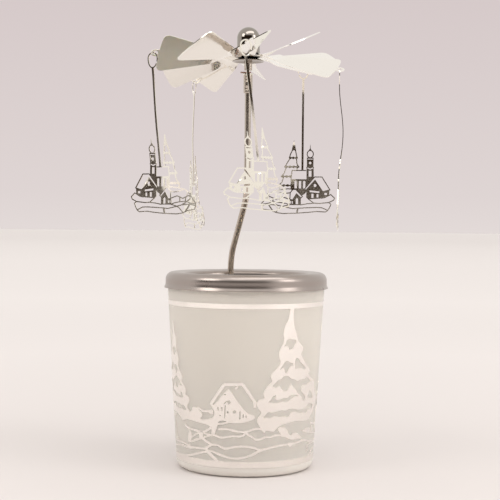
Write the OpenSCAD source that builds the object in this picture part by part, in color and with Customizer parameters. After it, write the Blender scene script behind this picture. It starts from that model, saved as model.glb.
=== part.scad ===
// Candle carousel: a frosted glass tea-light holder with a steel lid ring, a bent
// mast, a ten-blade vane wheel that turns on a needle, and five hanging pendants.
// The origin is the centre of the glass's base, +Z is up, and the front faces -Y.

/* [Glass] */
// Height of the glass
glass_h = 76.5; // [60:0.5:100]
// Outer radius of the glass at its rim
glass_rim_r = 31.5; // [28:0.1:36]
// Outer radius of the glass just above its heel
glass_heel_r = 27.3; // [24:0.1:31]
// Wall thickness of the glass
glass_wall = 2.2; // [1.6:0.1:3]
// Thickness of the glass base
glass_floor = 5; // [3:0.5:8]

/* [Tea light] */
// Outer radius of the aluminium cup
cup_r = 18.8; // [17:0.1:20]
// Height of the aluminium cup
cup_h = 16; // [12:0.5:20]
// Height of the wax inside the cup
wax_h = 12.5; // [8:0.5:13]

/* [Lid ring] */
// Height of the lid's top above the base
lid_top = 77.7; // [61:0.1:102]
// Outer radius of the lid's wall
lid_r = 32.2; // [29:0.1:37]
// Radius of the opening in the lid
lid_open_r = 23.8; // [21:0.1:25]
// Thickness of the lid's sheet
lid_sheet = 0.5; // [0.4:0.05:0.8]

/* [Mast] */
// Radius of the mast rod
rod_r = 1.25; // [1:0.05:1.6]
// Direction in which the mast's foot stands, from +X
foot_az = 107; // [0:1:359]
// Slope of the bent stretch, from vertical
bend_a = 42; // [20:1:45]
// Radius of the two bends
bend_r = 15; // [8:0.5:20]
// Height of the end of the rod, inside the crimped sleeve
rod_top = 152.4; // [140:0.1:153]
// Radius of the pivot needle
needle_r = 0.6; // [0.4:0.05:0.8]

/* [Vane wheel] */
// Height of the middle of the wheel's disc
wheel_z = 163; // [150:0.5:180]
// Radius of the disc that the blades grow from
disc_r = 8.4; // [7:0.1:10]
// Radius of the wheel at the middle of a blade's end
blade_tip_r = 36.6; // [30:0.1:40]
// Half the width of a blade near its end
blade_half_w = 10.1; // [7:0.1:10.5]
// Thickness of the wheel's sheet
blade_t = 0.3; // [0.2:0.05:0.5]

/* [Pendants] */
// Length of the strip between the ring and the village
strip_len = 38.1; // [20:0.1:45]
// Width of the strip
strip_w = 0.85; // [0.6:0.05:1.5]
// Thickness of the pendants' sheet
pendant_t = 0.3; // [0.2:0.05:0.5]

/* [Hidden] */
$fn = 96;

// Points on an arc in a lathe profile, from angle a0 to a1 in n steps.
function arc(cx, cy, r, a0, a1, n = 8) =
    [for (i = [0 : n]) let (a = a0 + (a1 - a0) * i / n) [cx + r * cos(a), cy + r * sin(a)]];

// ---- glass ----
heel_round = 3.4;
rim_round = glass_wall / 2;
inner_round = 3;

module glass_cup() {
    rim_z = glass_h - rim_round;
    rim_c = glass_rim_r - rim_round;
    in_low_r = glass_heel_r - glass_wall + 0.3;
    color([0.86, 0.83, 0.79, 0.6]) rotate_extrude() polygon(concat(
        [[0, 0]],
        arc(glass_heel_r - heel_round, heel_round, heel_round, -90, 0),
        arc(rim_c, rim_z, rim_round, 0, 180, 10),
        arc(in_low_r - inner_round, glass_floor + inner_round, inner_round, 0, -90, 6),
        [[0, glass_floor]]));
}

// ---- tea light ----
seat_gap = 0.02;
cup_z = glass_floor + seat_gap;
cup_sheet = 0.3;
wick_r = 0.9;
tab_r = 6;
tab_t = 0.3;

module tealight_cup() {
    color([0.8, 0.8, 0.82]) translate([0, 0, cup_z]) {
        difference() {
            cylinder(r = cup_r, h = cup_h);
            translate([0, 0, cup_sheet]) cylinder(r = cup_r - cup_sheet, h = cup_h);
        }
        translate([0, 0, cup_h - 0.6]) difference() {
            cylinder(r = cup_r + 0.5, h = 0.6);
            translate([0, 0, -1]) cylinder(r = cup_r - cup_sheet, h = 3);
        }
    }
}

module wick_tab() {
    color([0.72, 0.72, 0.74]) translate([0, 0, cup_z + cup_sheet]) difference() {
        cylinder(r = tab_r, h = tab_t);
        translate([0, 0, -1]) cylinder(r = wick_r, h = 3);
    }
}

module tealight_wax() {
    color([0.96, 0.95, 0.91]) translate([0, 0, cup_z + cup_sheet]) difference() {
        cylinder(r = cup_r - cup_sheet, h = wax_h);
        translate([0, 0, -1]) cylinder(r = tab_r, h = 1 + tab_t);
        translate([0, 0, -1]) cylinder(r = wick_r, h = wax_h + 3);
    }
}

module tealight_wick() {
    color([0.93, 0.92, 0.88]) translate([0, 0, cup_z + cup_sheet])
        cylinder(r = wick_r, h = wax_h + 6, $fn = 32);
}

// ---- lid ring ----
lid_round = 3;
lid_in_round = 1.8;
lid_lip_z = lid_top - 6.3;
skirt_z = lid_top - 5;
crown_drop = 0.4;

module lid_ring() {
    out_c = lid_r - lid_round;
    in_c = lid_open_r + lid_in_round;
    t = lid_sheet;
    in_z = lid_top - crown_drop - lid_in_round;
    out_z = lid_top - lid_round;
    color([0.62, 0.58, 0.55]) rotate_extrude() polygon(concat(
        [[lid_r + 0.5, lid_lip_z], [lid_r + 0.45, lid_lip_z + 0.4], [lid_r, lid_lip_z + 1.5]],
        arc(out_c, out_z, lid_round, 0, 90),
        arc(in_c, in_z, lid_in_round, 90, 180),
        [[lid_open_r, skirt_z + 0.4], [lid_open_r + 0.3, skirt_z],
         [lid_open_r + t + 0.1, skirt_z + 0.2], [lid_open_r + t, skirt_z + 0.6]],
        arc(in_c, in_z, lid_in_round - t, 180, 90),
        arc(out_c, out_z, lid_round - t, 90, 0),
        [[lid_r - t, lid_lip_z + 1.5], [lid_r - t + 0.35, lid_lip_z + 0.4],
         [lid_r + 0.1, lid_lip_z]]));
}

// ---- mast: foot, two bends with a straight between them, and the upright ----
foot_s = lid_open_r - rod_r - 0.05;
foot_low_z = skirt_z - 0.3;
foot_bend_z = lid_top - 0.3;
mid_len = (foot_s - 2 * bend_r * (1 - cos(bend_a))) / sin(bend_a);
top_bend_z = foot_bend_z + 2 * bend_r * sin(bend_a) + mid_len * cos(bend_a);

module rod_arc(a0, span) {
    rotate([90, 0, 0]) rotate([0, 0, a0])
        rotate_extrude(angle = span) translate([bend_r, 0]) circle(r = rod_r, $fn = 48);
}

module mast_rod() {
    color([0.52, 0.47, 0.42]) rotate([0, 0, foot_az]) {
        translate([foot_s, 0, foot_low_z])
            cylinder(r = rod_r, h = foot_bend_z - foot_low_z, $fn = 48);
        translate([foot_s - bend_r, 0, foot_bend_z]) rod_arc(0, bend_a);
        translate([foot_s - bend_r * (1 - cos(bend_a)), 0, foot_bend_z + bend_r * sin(bend_a)])
            rotate([0, -bend_a, 0]) cylinder(r = rod_r, h = mid_len, $fn = 48);
        translate([bend_r, 0, top_bend_z]) rod_arc(180, bend_a);
        translate([0, 0, top_bend_z]) cylinder(r = rod_r, h = rod_top - top_bend_z, $fn = 48);
    }
}

module mast_weld() {
    color([0.45, 0.42, 0.4]) rotate([0, 0, foot_az])
        for (side = [-1, 1], step = [0 : 2])
            translate([lid_open_r - 0.55, side * (rod_r - 0.15), skirt_z + 0.9 + step * 0.9])
                sphere(r = 0.6, $fn = 24);
}

// ---- needle, crimped sleeve and stops ----
sleeve_low = 149;
sleeve_top = 156.2;
sleeve_r = 1.8;
tube_low = 158;
tube_top = 170;
tube_r = 1.6;
run_gap = 0.08;
tip_z = 170.8;
tip_len = 0.9;

module crimp_sleeve() {
    color([0.45, 0.41, 0.37]) difference() {
        translate([0, 0, sleeve_low]) cylinder(r = sleeve_r, h = sleeve_top - sleeve_low);
        translate([0, 0, sleeve_low - 1]) cylinder(r = rod_r, h = rod_top - sleeve_low + 1);
        translate([0, 0, sleeve_low]) cylinder(r = needle_r, h = 20, $fn = 48);
        for (dent_z = [sleeve_low + 1.8, sleeve_low + 5.3])
            translate([-0.3, -sleeve_r - 0.45, dent_z]) sphere(r = 0.85, $fn = 32);
    }
}

module pivot_needle() {
    color([0.75, 0.74, 0.72]) translate([0, 0, rod_top]) {
        cylinder(r = needle_r, h = tip_z - tip_len - rod_top, $fn = 48);
        translate([0, 0, tip_z - tip_len - rod_top])
            cylinder(r1 = needle_r, r2 = 0, h = tip_len, $fn = 48);
    }
}

module stop_washer() {
    color([0.9, 0.87, 0.78]) translate([0, 0, sleeve_top]) difference() {
        cylinder(r = 2.05, h = 0.6);
        translate([0, 0, -1]) cylinder(r = needle_r, h = 3, $fn = 48);
    }
}

// A spring wire clip on the needle, with its tail standing out to the left.
module stop_clip() {
    wire = 0.3;
    loop_r = needle_r + wire;
    color([0.6, 0.42, 0.36]) translate([0, 0, sleeve_top + 0.6 + wire + 0.1]) {
        rotate([0, 0, 180]) rotate_extrude(angle = 300)
            translate([loop_r, 0]) circle(r = wire, $fn = 24);
        translate([-loop_r, 0, 0]) rotate([0, -90, 0]) cylinder(r = wire, h = 2.2, $fn = 24);
    }
}

// ---- rotor hub ----
cup_seat_h = 2;

module bearing_tube() {
    color([0.5, 0.45, 0.4]) translate([0, 0, tube_low]) difference() {
        cylinder(r = tube_r, h = tube_top - tube_low);
        translate([0, 0, -1]) cylinder(r = needle_r + run_gap, h = 20, $fn = 48);
    }
}

module bearing_cup() {
    color([0.8, 0.75, 0.6]) difference() {
        translate([0, 0, tube_top]) cylinder(r = tube_r, h = cup_seat_h);
        translate([0, 0, tube_top - 0.01])
            cylinder(r1 = needle_r + run_gap, r2 = 0, h = tip_len + run_gap, $fn = 48);
    }
}

cap_r = 4.6;
cap_low = 164.9;
cap_dome_z = 170.7;
cap_wall = 0.5;
washer_h = 1;

module hub_cap() {
    boss_low = wheel_z + 0.2 + washer_h;
    color([0.55, 0.55, 0.56]) rotate_extrude() polygon(concat(
        [[0, tube_top + cup_seat_h], [tube_r, tube_top + cup_seat_h], [tube_r, boss_low],
         [2.6, boss_low], [2.6, cap_dome_z + 2.6]],
        arc(0, cap_dome_z, cap_r - cap_wall, 40, 0),
        [[cap_r - cap_wall + 0.15, cap_low], [cap_r + 0.15, cap_low]],
        arc(0, cap_dome_z, cap_r, 0, 90, 12)));
}

module top_washer() {
    color([0.3, 0.28, 0.27]) translate([0, 0, wheel_z + 0.2]) difference() {
        cylinder(r = 5.4, h = washer_h);
        translate([0, 0, -1]) cylinder(r = tube_r, h = 4);
    }
}

// A thin dished washer under the wheel, with its rim turned down.
module dished_washer() {
    top = wheel_z - 0.2;
    color([0.6, 0.58, 0.56]) rotate_extrude() polygon([
        [tube_r, top], [3.2, top], [6.35, top - 0.9], [6.35, top - 1.3],
        [3.1, top - 0.4], [tube_r, top - 0.4]]);
}

// ---- vane wheel ----
// Each blade is twisted and bent by hand, so each has its own direction, pitch and lift.
blade_az = [16.5, 54.5, 90.5, 127, 163, 197, 234.5, 270.5, 307, 343.5];
blade_pitch = [22, 30, 34, 33, 45, 40, 30.5, 29, 22.5, 28.5];
blade_lift = [2.5, 2, 0.5, -11.5, -8, 0.7, 1.5, 3.2, 8, -10.5];
eyed_blades = [5, 3, 7, 1, 9];
root_r = 7.6;
twist_len = 8;
root_half_w = 2;
corner_round = 2.4;
end_bulge = 0.9;
eye_r = 37.9;
eye_hole_r = 1;
eye_lug_r = 1.8;
eye_lug_t = 0.36;
blade_rows = 10;
blade_cols = 12;

function smooth(x) = let (u = min(1, max(0, x))) u * u * (3 - 2 * u);
function radial(a) = [cos(a), sin(a), 0];
function tangent(a) = [-sin(a), cos(a), 0];
// Direction along blade i, and the direction square to it in the vertical plane.
function blade_out(i) = cos(blade_lift[i]) * radial(blade_az[i]) + [0, 0, sin(blade_lift[i])];
function blade_up(i) = -sin(blade_lift[i]) * radial(blade_az[i]) + [0, 0, cos(blade_lift[i])];
function pitch_at(i, r) = blade_pitch[i] * smooth((r - root_r) / twist_len);
function across(i, r) =
    cos(pitch_at(i, r)) * tangent(blade_az[i]) + sin(pitch_at(i, r)) * blade_up(i);
function blade_mid(i, r) =
    root_r * radial(blade_az[i]) + [0, 0, wheel_z] + (r - root_r) * blade_out(i);
function half_w(r) =
    root_half_w + (blade_half_w - root_half_w) * (r - root_r) / (blade_tip_r - root_r);
// Where the blade ends, at a share v of its half width.
function end_r(v) =
    let (over = max(0, abs(v) * blade_half_w - (blade_half_w - corner_round)))
    blade_tip_r - end_bulge * v * v
    - (corner_round - sqrt(max(0, corner_round * corner_round - over * over)));
function blade_point(i, u, v, side) =
    let (r = root_r + (end_r(v) - root_r) * u, n = cross(blade_out(i), across(i, r)))
    blade_mid(i, r) + v * half_w(r) * across(i, r) + side * blade_t / 2 * n;

module blade(i) {
    nc = blade_cols + 1;
    layer = (blade_rows + 1) * nc;
    points = [for (side = [1, -1], j = [0 : blade_rows], k = [0 : blade_cols])
        blade_point(i, j / blade_rows, sin(90 * (2 * k / blade_cols - 1)), side)];
    top = [for (j = [0 : blade_rows - 1], k = [0 : blade_cols - 1], half = [0, 1])
        let (a = j * nc + k) half == 0 ? [a, a + 1, a + nc + 1] : [a, a + nc + 1, a + nc]];
    under = [for (f = top) [f[0] + layer, f[2] + layer, f[1] + layer]];
    rim = concat(
        [for (k = [0 : blade_cols]) k],
        [for (j = [1 : blade_rows]) j * nc + blade_cols],
        [for (k = [blade_cols - 1 : -1 : 0]) blade_rows * nc + k],
        [for (j = [blade_rows - 1 : -1 : 1]) j * nc]);
    count = len(rim);
    wall = [for (q = [0 : count - 1], half = [0, 1])
        let (a = rim[q], b = rim[(q + 1) % count])
        half == 0 ? [a, a + layer, b + layer] : [a, b + layer, b]];
    polyhedron(points = points, faces = concat(top, under, wall));
}

// A flat tab at the middle of a blade's end, with a round nose and the eye's hole.
module eye_lug(i) {
    translate(blade_mid(i, eye_r)) rotate([0, 0, blade_az[i]])
        rotate([0, -blade_lift[i], 0]) rotate([blade_pitch[i], 0, 0])
            translate([0, 0, -eye_lug_t / 2]) difference() {
                linear_extrude(eye_lug_t) polygon(concat(
                    arc(0, 0, eye_lug_r, -90, 90, 12), [[-2.6, eye_lug_r], [-2.6, -eye_lug_r]]));
                translate([0, 0, -1]) cylinder(r = eye_hole_r, h = 3);
            }
}

// The disc's rim is a polygon, so that it meets the blades' facets in straight edges.
module vane_wheel() {
    color([0.93, 0.91, 0.86]) {
        translate([0, 0, wheel_z - 0.2]) difference() {
            linear_extrude(0.4) polygon(arc(0, 0, disc_r, 0, 354, 59));
            translate([0, 0, -1]) cylinder(r = tube_r, h = 3);
        }
        for (i = [0 : len(blade_az) - 1]) blade(i);
        for (i = eyed_blades) eye_lug(i);
    }
}

// ---- pendants: an oval split ring, a strip and a village cut from one sheet ----
ring_r = 2.45;
ring_low = 3.9;
ring_wire = 0.5;
ring_drop = 1.45;
rim_offset = (eye_hole_r + eye_lug_r) / 2;
pendant_yaw = [-32, -70, 24, 180, 86];

// A half circle over a half ellipse: the ring's outline at a given inset.
module ring_outline(inset) {
    polygon(concat(
        arc(0, 0, ring_r - inset, 0, 180, 16),
        [for (k = [1 : 15]) let (a = 180 + 12 * k)
            [(ring_r - inset) * cos(a), (ring_low - inset) * sin(a)]]));
}

module split_ring() {
    difference() {
        ring_outline(0);
        ring_outline(ring_wire);
        rotate(-42) translate([1.6, -0.35]) square([2.6, 0.7]);
    }
}

// The village is openwork: the snow is cut out, and walls, shadows and thin outlines are metal.
line_w = 0.42;

function heading(a, b) = (b - a) / norm(b - a);
// How far the edge of a line of half width h stands off its point i, mitred at a corner.
function stand_off(p, i, h) =
    let (last = len(p) - 1, before = heading(p[max(i - 1, 0)], p[max(i, 1)]),
         after = heading(p[min(i, last - 1)], p[min(i + 1, last)]),
         mean = (before + after) / norm(before + after),
         k = h / max(0.6, mean * after))
    [-mean[1] * k, mean[0] * k];

module outline(p, w = line_w) {
    last = len(p) - 1;
    polygon(concat([for (i = [0 : last]) p[i] + stand_off(p, i, w / 2)],
                   [for (i = [last : -1 : 0]) p[i] - stand_off(p, i, w / 2)]));
}

module block(x0, x1, z0, z1) { translate([x0, z0]) square([x1 - x0, z1 - z0]); }

big_roof = [[-1.2, -8], [-5.2, -3.1], [-8.3, -3.1], [-11.7, -8.5], [-8.7, -9.3], [-5.4, -4.5], [-1.6, -8.7]];
small_roof = [[5.2, -12.5], [5.1, -9.9], [4, -8.5], [2.8, -8.4], [-0.1, -11.4], [0.5, -12.1], [2.4, -10.3],
              [3.9, -12.7]];

// The big fir: middle x, half width and height of the foot of each snowy tier.
fir_mid = [3.65, 3.9, 4.5, 5, 5.4];
fir_half = [0.9, 1.9, 3.2, 4.1, 4.9];
fir_low = [8.2, 4.7, 0.9, -3.2, -7];
shadow_h = 0.8;

module fir_tip() {
    polygon([[2.75, 8.2], [3.2, 7.8], [3.65, 8.3], [4.1, 7.8], [4.55, 8.2], [3.75, 12.2], [3.55, 12.2]]);
}

module behind_nave() { polygon([[-3, -0.4], [4.4, -0.4], [4.95, -4.3], [4.95, -8.5], [-3, -8.5]]); }

// Tier k's jagged shadow, with its toothed upper and lower edges.
module fir_shadow(k) {
    teeth = 2 * (k + 2);
    step = 2 * fir_half[k] / teeth;
    left = fir_mid[k] - fir_half[k];
    difference() {
        polygon(concat(
            [for (i = [0 : teeth]) [left + i * step, fir_low[k] - (i % 2) * 0.4]],
            [for (i = [teeth : -1 : 0]) [left + i * step, fir_low[k] + shadow_h * (i % 2 == 1 ? 1 : 0.55)]]));
        behind_nave();
    }
}

module fir_side(k, side) {
    difference() {
        outline([[fir_mid[k - 1] + side * 0.7 * fir_half[k - 1], fir_low[k - 1] + 0.1],
                 [fir_mid[k] + side * 0.66 * fir_half[k], fir_low[k] + 1.6],
                 [fir_mid[k] + side * (fir_half[k] - 0.2), fir_low[k] + 0.1]]);
        behind_nave();
    }
}

module small_fir(x, z, s) {
    for (k = [0 : 2]) polygon([
        [x - s * (0.35 + 0.22 * k), z + s * (2.2 - 0.9 * k)],
        [x + s * (0.35 + 0.22 * k), z + s * (2.2 - 0.9 * k)],
        [x, z + s * (3.9 - 0.9 * k)]]);
    polygon([[x - 0.2 * s, z - 0.4], [x + 0.2 * s, z - 0.4], [x + 0.2 * s, z + s], [x - 0.2 * s, z + s]]);
}

// The onion dome is an open oval under its spire.
module church_dome() {
    polygon([[-4, 7.9], [-3.25, 8], [-2.5, 7.9], [-3.1, 8.9], [-3.2, 10.6], [-3.3, 10.6], [-3.4, 8.9]]);
    translate([-3.25, 6.55]) difference() {
        polygon([for (i = [0 : 31]) [1.5 * cos(i * 11.25), 1.75 * sin(i * 11.25)]]);
        polygon([for (i = [0 : 31]) [1.1 * cos(i * 11.25), 1.35 * sin(i * 11.25)]]);
    }
}

module church_tower() {
    difference() {
        polygon([[-4.9, -8.6], [-1.75, -8.6], [-1.75, 0.6], [-1.55, 0.9], [-1.85, 1.1], [-1.85, 5.1],
                 [-4.65, 5.1], [-4.65, 1.1], [-4.95, 0.9], [-4.75, 0.6]]);
        block(-4.35, -2.15, 4.3, 4.6);
        translate([-3.25, 2.8]) circle(r = 0.55, $fn = 24);
        polygon([[-4.45, 0.85], [-3.25, 0.45], [-2.05, 0.85], [-2.05, 0.5], [-3.25, -0.05], [-4.45, 0.5]]);
        block(-3.85, -2.65, -3, -0.5);
        polygon(big_roof);
    }
}

module church_nave() {
    difference() {
        polygon([[4.9, -4.1], [-2.6, -4.1], [-2.8, -8.2], [-1.2, -10.2], [0.4, -11.2], [3.4, -9.4],
                 [4.95, -8.45]]);
        block(2.35, 3.3, -8, -4.9);
        block(0.5, 1.45, -8, -4.9);
        block(-1.3, -0.35, -8, -4.9);
        polygon(big_roof);
        polygon(small_roof);
    }
}

module big_house() {
    difference() {
        polygon([[-5.4, -4.7], [-1.8, -8.9], [-1.7, -11.9], [-2.6, -12.6], [-4.1, -12.5], [-8.2, -12.2],
                 [-11.4, -10.9], [-11.5, -8.6], [-8.6, -9.3]]);
        translate([-5.35, -6.7]) circle(r = 0.65, $fn = 24);
        polygon([[-7.3, -9.2], [-3.1, -8.8], [-3.2, -9.5], [-7.2, -9.9]]);
        block(-6.9, -6.1, -11.8, -10.4);
        block(-4.8, -3.9, -12, -10.2);
        block(-10.5, -9.4, -10.7, -9.8);
    }
}

module small_house() {
    difference() {
        polygon([[2.4, -10.4], [0.55, -12.1], [0.5, -15.1], [5.45, -15.1], [5.6, -13.8], [5.2, -12.5], [3.9, -12.7]]);
        polygon([[1.7, -14.7], [2.7, -14.7], [2.7, -12.6], [2.2, -12], [1.7, -12.6]]);
        block(3.95, 4.4, -14.5, -13.4);
        block(4.75, 5.1, -14.4, -13.4);
    }
}

module fence_and_tree() {
    outline([[9.6, -11.9], [9.6, -14.2]], 0.55);
    outline([[12.3, -12.3], [12.4, -14]], 0.55);
}

// Outlines of the snow: roofs, drifts and the ground's layers.
SNOW = [
    [[-0.9, -8.35], [-5.2, -3.1], [-8.3, -3.1], [-11.7, -8.5], [-8.7, -9.3]],
    [[-1.6, -8.7], [-5.4, -4.5], [-8.75, -9.4]],
    [[-1.6, -0.4], [4.35, -0.4], [4.8, -4.3]],
    [[5.2, -13], [5.1, -9.9], [4, -8.5], [2.8, -8.4], [-0.1, -11.4], [0.7, -12.2]],
    [[0.5, -12.1], [2.4, -10.3], [3.9, -12.7]],
    [[-8.1, -12.1], [-9.6, -11.8], [-12.1, -10.5], [-13.7, -12], [-13.3, -12.9], [-11.2, -13.9],
     [-7.2, -14.3], [-5, -14.2], [-2, -14.5], [0.7, -15]],
    [[-11.2, -13.8], [-12.2, -14.6], [-11.6, -16.1], [-10.8, -17.3], [-9.9, -17.9], [-6.1, -17.7],
     [-2.8, -18.1], [2.3, -18.5], [8.1, -18.7], [11, -18.3], [13.2, -17.4], [16.6, -16.9], [17.2, -15.5],
     [14.3, -14.9], [10.5, -15.2]],
    [[-10.9, -17.2], [-8.3, -16.1], [-6.1, -16], [-1.7, -16.2], [1.6, -16.4], [3.9, -16.6], [6.5, -16.1],
     [10.5, -15.2], [12.5, -14.1], [14.6, -12.7]],
    [[5.3, -15], [8, -15.6], [9.4, -16.4], [11.2, -18.2]],
    [[-2.6, -12.4], [-3.6, -13.2], [-5, -14.2]],
    [[4.9, -8.3], [6.2, -8.2], [9, -8.6], [12.2, -9.2], [14.2, -10.9], [15.6, -12.6], [17.2, -14.6],
     [17.2, -15.6]],
    [[5.3, -12.6], [8.3, -11.7], [11, -12.7], [14.2, -11.4]],
    [[17.2, -14.9], [14.6, -14.5], [12.4, -13.8], [9.6, -14], [7, -14.4], [5.3, -15]],
    [[10.2, -6.9], [9.3, -8.7]],
    [[5, -9.9], [7.4, -10.2], [9.4, -9.8], [11.6, -9.2]]];

module cut() {
    translate([0, 0, -pendant_t / 2]) linear_extrude(pendant_t) children();
}

module pendant_sheet() {
    top = -ring_low + 0.25;
    village_z = -ring_low - strip_len;
    cut() split_ring();
    cut() translate([-strip_w / 2, village_z - 0.5]) square([strip_w, top - village_z + 0.5]);
    translate([0, village_z, 0]) {
        cut() fir_tip();
        for (k = [1 : 4]) {
            cut() fir_shadow(k);
            cut() fir_side(k, -1);
            cut() fir_side(k, 1);
        }
        cut() church_dome();
        cut() church_tower();
        cut() church_nave();
        cut() big_house();
        cut() small_house();
        cut() fence_and_tree();
        cut() outline([[1.8, -16.2], [2.2, -18.6]], 0.7);
        cut() outline([[14.3, -14.8], [13.4, -16.2], [12.2, -17.9]], 0.55);
        for (line = SNOW) cut() outline(line);
        cut() small_fir(14.6, -12.6, 0.9);
    }
}

// The side of the eye's rim that pendant p's ring hangs from, as an angle in the lug.
function rim_turn(p) =
    let (i = eyed_blades[p], a = pendant_yaw[p] + 180 - blade_az[i])
    atan2(sin(a) / cos(blade_pitch[i]), cos(a) / cos(blade_lift[i]));
function hang_point(p) =
    let (i = eyed_blades[p], turn = rim_turn(p))
    blade_mid(i, eye_r)
    + rim_offset * (cos(turn) * blade_out(i) + sin(turn) * across(i, eye_r))
    - [0, 0, ring_drop];

module pendant(p) {
    color([0.9, 0.86, 0.78]) translate(hang_point(p)) rotate([90, 0, pendant_yaw[p]])
        pendant_sheet();
}

module pendant_1() { pendant(0); }
module pendant_2() { pendant(1); }
module pendant_3() { pendant(2); }
module pendant_4() { pendant(3); }
module pendant_5() { pendant(4); }

glass_cup();
tealight_cup();
tealight_wax();
tealight_wick();
wick_tab();
lid_ring();
mast_rod();
mast_weld();
crimp_sleeve();
pivot_needle();
stop_washer();
stop_clip();
bearing_tube();
bearing_cup();
hub_cap();
top_washer();
dished_washer();
vane_wheel();
pendant_1();
pendant_2();
pendant_3();
pendant_4();
pendant_5();
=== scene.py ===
import math

import bpy
from mathutils import Matrix, Vector, noise


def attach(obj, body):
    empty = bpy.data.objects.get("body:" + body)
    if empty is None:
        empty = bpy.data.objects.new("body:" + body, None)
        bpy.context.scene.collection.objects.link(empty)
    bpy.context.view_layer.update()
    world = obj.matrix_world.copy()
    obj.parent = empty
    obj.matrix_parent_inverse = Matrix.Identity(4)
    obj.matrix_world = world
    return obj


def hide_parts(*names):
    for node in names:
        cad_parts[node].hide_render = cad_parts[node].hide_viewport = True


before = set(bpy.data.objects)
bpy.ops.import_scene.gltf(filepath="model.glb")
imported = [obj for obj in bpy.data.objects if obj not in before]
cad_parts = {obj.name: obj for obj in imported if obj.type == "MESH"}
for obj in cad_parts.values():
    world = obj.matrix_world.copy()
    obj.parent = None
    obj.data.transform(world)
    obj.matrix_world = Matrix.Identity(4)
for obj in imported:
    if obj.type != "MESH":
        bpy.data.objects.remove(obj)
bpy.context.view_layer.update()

# ---- Camera ----
# It stands half a metre in front, a little over half way up the object, and looks slightly down.
# A long lens keeps the glass's sides nearly straight, and a small roll tips the object clockwise.
camera = bpy.data.objects.new("camera", bpy.data.cameras.new("camera"))
bpy.context.scene.collection.objects.link(camera)
camera.location = (0.0014, -0.510, 0.098)
look_down = Matrix.Rotation(math.radians(90 - 1.30), 3, "X")
roll = Matrix.Rotation(math.radians(0.55), 3, "Z")
camera.rotation_euler = (look_down @ roll).to_euler()
camera.data.sensor_width = 36
camera.data.lens = 91.8
camera.data.clip_start = 0.01
camera.data.clip_end = 20
bpy.context.scene.camera = camera
bpy.context.scene.view_settings.view_transform = "Standard"

# ---- Studio ----
# A wide pale paper floor, a bright room all round, and a dark wall behind the camera, which
# the polished sheets and the cap show as black streaks. Seen directly, the room is a soft pale wall.
def node_tree(owner):
    """The owner's emptied node tree, and a way to add a node with its settings and inputs."""
    owner.use_nodes = True
    tree = owner.node_tree
    tree.nodes.clear()

    def add(kind, inputs=(), **settings):
        made = tree.nodes.new(kind)
        for key, value in settings.items():
            setattr(made, key, value)
        for key, value in dict(inputs).items():
            if isinstance(value, bpy.types.NodeSocket):
                tree.links.new(value, made.inputs[key])
            else:
                made.inputs[key].default_value = value
        return made

    return tree, add


def room_light():
    """The room as the polished pieces see it, and the pale wall as the camera sees it."""
    world = bpy.data.worlds.new("studio_room")
    bpy.context.scene.world = world
    tree, add = node_tree(world)
    toward = add("ShaderNodeTexCoord").outputs["Generated"]
    apart = add("ShaderNodeSeparateXYZ", {0: toward})
    # Seen directly, the wall carries painted shade: it is lightest at and below the horizon and darker
    # upward, as light falls off up a backdrop.
    wall = add("ShaderNodeValToRGB", {0: add("ShaderNodeMapRange", {
        0: apart.outputs["Z"], 1: -0.03, 2: 0.2}).outputs[0]})
    steps = [(0.0, (0.79, 0.73, 0.71, 1)), (0.22, (0.735, 0.665, 0.655, 1)), (1.0, (0.66, 0.575, 0.575, 1))]
    wall.color_ramp.elements[0].position, wall.color_ramp.elements[0].color = steps[0]
    wall.color_ramp.elements[1].position, wall.color_ramp.elements[1].color = steps[2]
    middle = wall.color_ramp.elements.new(steps[1][0])
    middle.color = steps[1][1]
    front = add("ShaderNodeMath", {0: apart.outputs["Y"], 1: -1.0}, operation="MULTIPLY")
    azimuth = add("ShaderNodeMath", {0: apart.outputs["X"], 1: front.outputs[0]},
                  operation="ARCTAN2").outputs[0]
    share = None
    for value, clear, full in [(azimuth, -1.36, -1.20), (azimuth, 0.74, 0.54),
                               (apart.outputs["Z"], -0.15, -0.07), (apart.outputs["Z"], 0.58, 0.38)]:
        edge = add("ShaderNodeMapRange", {0: value, 1: clear, 2: full}, interpolation_type="SMOOTHSTEP")
        share = edge.outputs[0] if share is None else add(
            "ShaderNodeMath", {0: share, 1: edge.outputs[0]}, operation="MULTIPLY").outputs[0]
    seen = add("ShaderNodeMix", {0: share, 6: (0.93, 0.895, 0.86, 1), 7: (0.040, 0.026, 0.017, 1)},
               data_type="RGBA").outputs[2]
    direct = add("ShaderNodeLightPath").outputs["Is Camera Ray"]
    mixed = add("ShaderNodeMix", {0: direct, 6: seen, 7: wall.outputs[0]}, data_type="RGBA")
    back = add("ShaderNodeBackground", {0: mixed.outputs[2], 1: 1.0})
    add("ShaderNodeOutputWorld", {0: back.outputs[0]})


room_light()

bpy.ops.object.select_all(action="DESELECT")
bpy.ops.mesh.primitive_circle_add(vertices=96, radius=12.0, fill_type="NGON", location=(0, 0, 0))
floor = bpy.context.object
floor.name = "paper_floor"
paper = bpy.data.materials.new("pale_paper")
tree, add = node_tree(paper)
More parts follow.
